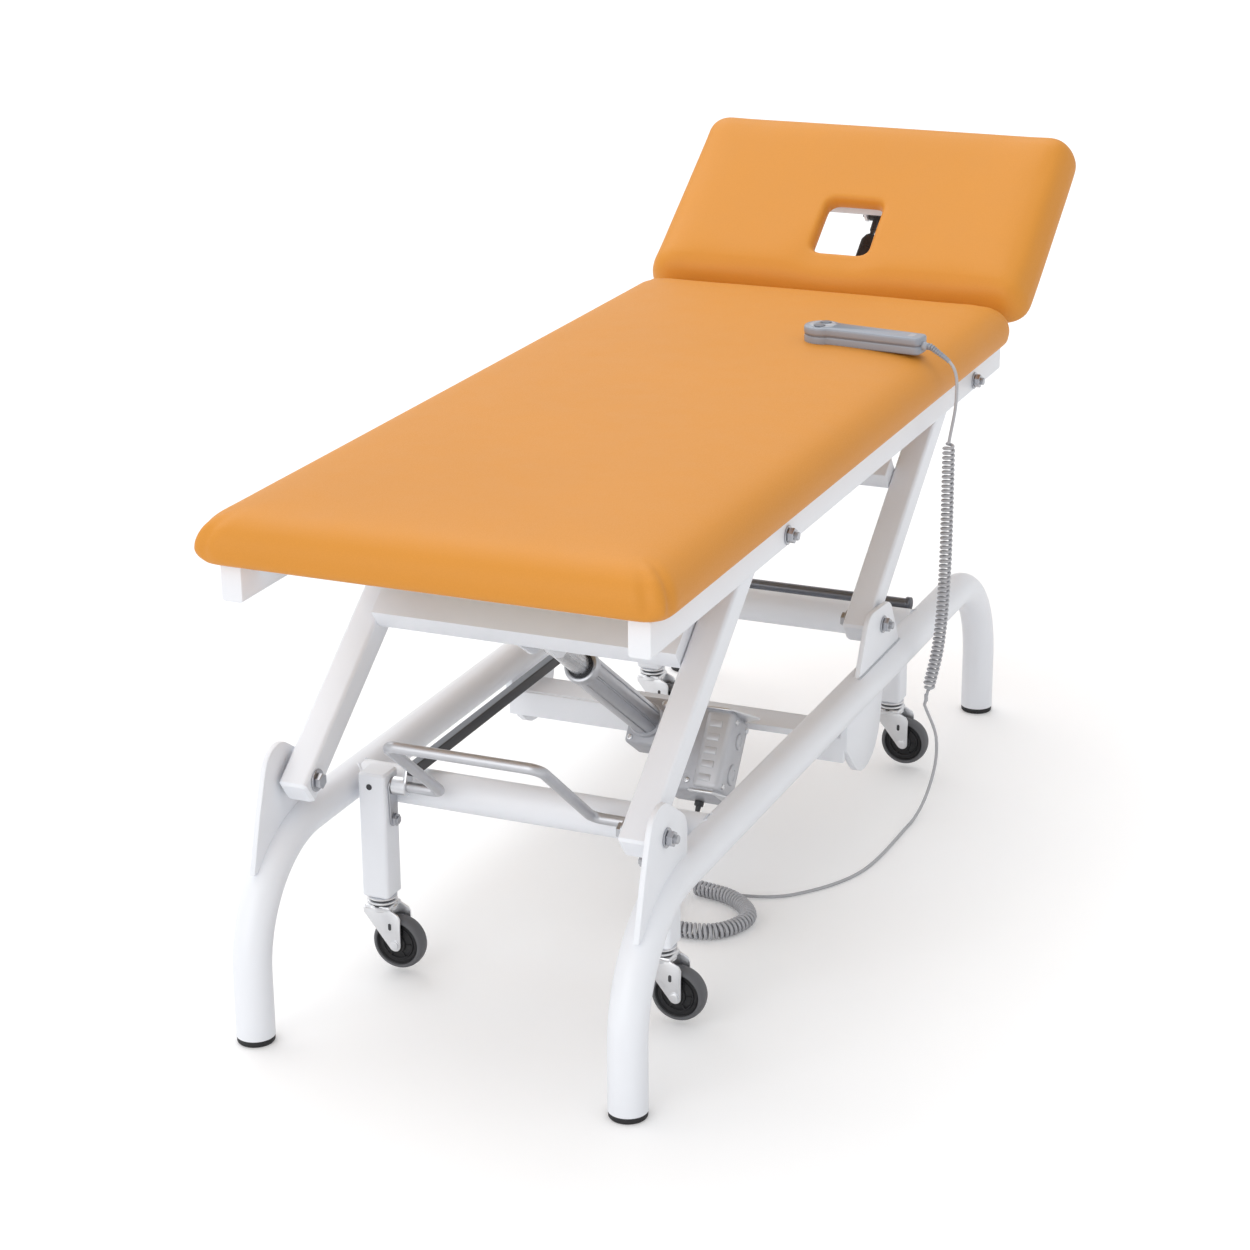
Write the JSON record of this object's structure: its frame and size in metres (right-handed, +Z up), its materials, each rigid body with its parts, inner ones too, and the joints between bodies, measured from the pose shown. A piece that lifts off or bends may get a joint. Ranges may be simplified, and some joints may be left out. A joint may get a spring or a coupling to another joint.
{
  "type": "treatment table",
  "caption": "Treatment table on a bent-tube base, with a parallel-arm electric lift, tilting head section with face hole, pedal wheel lift and corded handset.",
  "frame": {"origin": "centre of the table's box on the floor, without the handset's cable", "axes": "+Z up, +Y from the foot end to the head end, +X to the handset cable's side"},
  "size_m": [0.6685, 1.8002, 0.9146],
  "materials": {
    "powder_white": "white powder coat, satin",
    "orange_vinyl": "smooth orange upholstery vinyl",
    "bright_zinc": "bright zinc plate",
    "drawn_steel": "drawn bright steel",
    "black_rubber": "black moulded rubber",
    "grey_tyre": "dark grey tread on a dark hub",
    "cast_alloy": "grey cast housing",
    "dark_steel": "dark painted steel",
    "grey_plastic": "grey moulded plastic",
    "grey_button": "grey push buttons, a little darker than the handset",
    "grey_cable": "grey cable sheath",
    "plywood": "plain plywood"
  },
  "bodies": {
    "base": {"side_tube_right": "powder_white", "side_tube_left": "powder_white", "foot_cap_front_right": "black_rubber", "foot_cap_front_left": "black_rubber", "foot_cap_rear_right": "black_rubber", "foot_cap_rear_left": "black_rubber", "front_cross_tube": "powder_white", "rear_cross_tube": "powder_white", "middle_beam": "powder_white", "lower_bolt_front_right": "bright_zinc", "lower_bolt_front_left": "bright_zinc", "lower_bolt_rear_right": "bright_zinc", "lower_bolt_rear_left": "bright_zinc", "cable_lower": "grey_cable"},
    "front_arms": {"arm_front_right": "powder_white", "arm_front_left": "powder_white", "arm_bar_front": "powder_white"},
    "rear_arms": {"arm_rear_right": "powder_white", "arm_rear_left": "powder_white", "arm_bar_rear": "powder_white"},
    "top": {"rail_right": "powder_white", "rail_left": "powder_white", "top_tie_front": "powder_white", "top_tie_rear": "powder_white", "main_pad": "orange_vinyl", "main_board": "plywood", "hinge_rod": "bright_zinc", "upper_bolt_front_right": "bright_zinc", "upper_bolt_front_left": "bright_zinc", "upper_bolt_rear_right": "bright_zinc", "upper_bolt_rear_left": "bright_zinc", "handset": "grey_plastic", "cable_upper": "grey_cable"},
    "head": {"head_pad": "orange_vinyl", "head_frame": "powder_white"},
    "gas_cylinder": {"gas_cylinder": "dark_steel"},
    "gas_rod": {"gas_rod": "drawn_steel"},
    "lift_motor": {"lift_gearbox": "cast_alloy", "lift_motor": "cast_alloy"},
    "lift_rod": {"lift_rod": "drawn_steel"},
    "wheel_pedal": {"wheel_pedal": "drawn_steel"},
    "rear_shaft": {"rear_shaft": "dark_steel"},
    "link_bar": {"link_bar": "dark_steel"},
    "button_up": {"button_up": "grey_button"},
    "button_down": {"button_down": "grey_button"},
    "post_front_right": {"castor_post_front_right": "powder_white"},
    "fork_front_right": {"castor_fork_front_right": "bright_zinc"},
    "wheel_front_right": {"castor_wheel_front_right": "grey_tyre"},
    "post_front_left": {"castor_post_front_left": "powder_white"},
    "fork_front_left": {"castor_fork_front_left": "bright_zinc"},
    "wheel_front_left": {"castor_wheel_front_left": "grey_tyre"},
    "post_rear_right": {"castor_post_rear_right": "powder_white"},
    "fork_rear_right": {"castor_fork_rear_right": "bright_zinc"},
    "wheel_rear_right": {"castor_wheel_rear_right": "grey_tyre"},
    "post_rear_left": {"castor_post_rear_left": "powder_white"},
    "fork_rear_left": {"castor_fork_rear_left": "bright_zinc"},
    "wheel_rear_left": {"castor_wheel_rear_left": "grey_tyre"}
  },
  "joints": [
    {"name": "lift", "type": "hinge", "parent": "base", "child": "rear_arms", "pos_m": [0, 0.07036, 0.33], "axis": [1, 0, 0], "range_deg": [-18, 22]},
    {"name": "front_arm_swing", "type": "hinge", "parent": "base", "child": "front_arms", "pos_m": [0, -0.76764, 0.33], "axis": [1, 0, 0], "range_deg": [-19, 23]},
    {"name": "top_level", "type": "hinge", "parent": "rear_arms", "child": "top", "pos_m": [0, 0.44173, 0.60984], "axis": [1, 0, 0], "range_deg": [-23, 19]},
    {"name": "motor_tilt", "type": "hinge", "parent": "base", "child": "lift_motor", "pos_m": [0, -0.11464, 0.182], "axis": [1, 0, 0], "range_deg": [-5.62, 4.78]},
    {"name": "rod_travel", "type": "slide", "parent": "lift_motor", "child": "lift_rod", "axis": [0, -0.8156, 0.5786], "range_m": [-0.0828, 0.10053]},
    {"name": "head_tilt", "type": "hinge", "parent": "top", "child": "head", "pos_m": [0, 0.57836, 0.672], "axis": [1, 0, 0], "range_deg": [-45, 10]},
    {"name": "gas_swing", "type": "hinge", "parent": "top", "child": "gas_cylinder", "pos_m": [0, 0.57336, 0.575], "axis": [1, 0, 0], "range_deg": [-40.15, 9.7]},
    {"name": "gas_rod_swing", "type": "hinge", "parent": "head", "child": "gas_rod", "pos_m": [0, 0.82854, 0.77149], "axis": [1, 0, 0], "range_deg": [-2.4, 7.3]},
    {"name": "pedal_press", "type": "hinge", "parent": "base", "child": "wheel_pedal", "pos_m": [0, -0.62544, 0.274], "axis": [1, 0, 0], "range_deg": [0, 30]},
    {"name": "rear_shaft_turn", "type": "hinge", "parent": "base", "child": "rear_shaft", "pos_m": [0, 0.32416, 0.274], "axis": [1, 0, 0], "range_deg": [-1, 31]},
    {"name": "link_travel", "type": "slide", "parent": "base", "child": "link_bar", "axis": [0, 1, 0], "range_m": [-0.01396, 0.0005]},
    {"name": "post_drop_front_right", "type": "slide", "parent": "base", "child": "post_front_right", "axis": [0, 0, 1], "range_m": [-0.008, 0.0003]},
    {"name": "swivel_front_right", "type": "hinge", "parent": "post_front_right", "child": "fork_front_right", "pos_m": [0.204, -0.62544, 0.1], "axis": [0, 0, 1], "continuous": true},
    {"name": "roll_front_right", "type": "hinge", "parent": "fork_front_right", "child": "wheel_front_right", "pos_m": [0.229, -0.62544, 0.0455], "axis": [0, 1, 0], "continuous": true},
    {"name": "post_drop_front_left", "type": "slide", "parent": "base", "child": "post_front_left", "axis": [0, 0, 1], "range_m": [-0.008, 0.0003]},
    {"name": "swivel_front_left", "type": "hinge", "parent": "post_front_left", "child": "fork_front_left", "pos_m": [-0.204, -0.62544, 0.1], "axis": [0, 0, 1], "continuous": true},
    {"name": "roll_front_left", "type": "hinge", "parent": "fork_front_left", "child": "wheel_front_left", "pos_m": [-0.179, -0.62544, 0.0455], "axis": [0, 1, 0], "continuous": true},
    {"name": "post_drop_rear_right", "type": "slide", "parent": "base", "child": "post_rear_right", "axis": [0, 0, 1], "range_m": [-0.008, 0.0003]},
    {"name": "swivel_rear_right", "type": "hinge", "parent": "post_rear_right", "child": "fork_rear_right", "pos_m": [0.204, 0.32416, 0.1], "axis": [0, 0, 1], "continuous": true},
    {"name": "roll_rear_right", "type": "hinge", "parent": "fork_rear_right", "child": "wheel_rear_right", "pos_m": [0.229, 0.32416, 0.0455], "axis": [0, 1, 0], "continuous": true},
    {"name": "post_drop_rear_left", "type": "slide", "parent": "base", "child": "post_rear_left", "axis": [0, 0, 1], "range_m": [-0.008, 0.0003]},
    {"name": "swivel_rear_left", "type": "hinge", "parent": "post_rear_left", "child": "fork_rear_left", "pos_m": [-0.204, 0.32416, 0.1], "axis": [0, 0, 1], "continuous": true},
    {"name": "roll_rear_left", "type": "hinge", "parent": "fork_rear_left", "child": "wheel_rear_left", "pos_m": [-0.179, 0.32416, 0.0455], "axis": [0, 1, 0], "continuous": true},
    {"name": "press_up", "type": "slide", "parent": "top", "child": "button_up", "axis": [0, 0, -1], "range_m": [0, 0.0012], "stiffness_N_per_m": 400},
    {"name": "press_down", "type": "slide", "parent": "top", "child": "button_down", "axis": [0, 0, -1], "range_m": [0, 0.0012], "stiffness_N_per_m": 400}
  ],
  "couplings": [
    {"joint": "front_arm_swing", "follows": "lift", "ratio": 1},
    {"joint": "top_level", "follows": "lift", "ratio": -1},
    {"joint": "motor_tilt", "follows": "lift", "ratio": -0.21},
    {"joint": "rod_travel", "follows": "lift", "m_per_rad": 0.254},
    {"joint": "gas_swing", "follows": "head_tilt", "ratio": 0.87},
    {"joint": "gas_rod_swing", "follows": "head_tilt", "ratio": -0.14},
    {"joint": "rear_shaft_turn", "follows": "pedal_press", "ratio": 1},
    {"joint": "link_travel", "follows": "pedal_press", "m_per_rad": -0.0257},
    {"joint": "post_drop_front_right", "follows": "pedal_press", "m_per_rad": -0.01509},
    {"joint": "post_drop_front_left", "follows": "pedal_press", "m_per_rad": -0.01509},
    {"joint": "post_drop_rear_right", "follows": "pedal_press", "m_per_rad": -0.01509},
    {"joint": "post_drop_rear_left", "follows": "pedal_press", "m_per_rad": -0.01509}
  ]
}
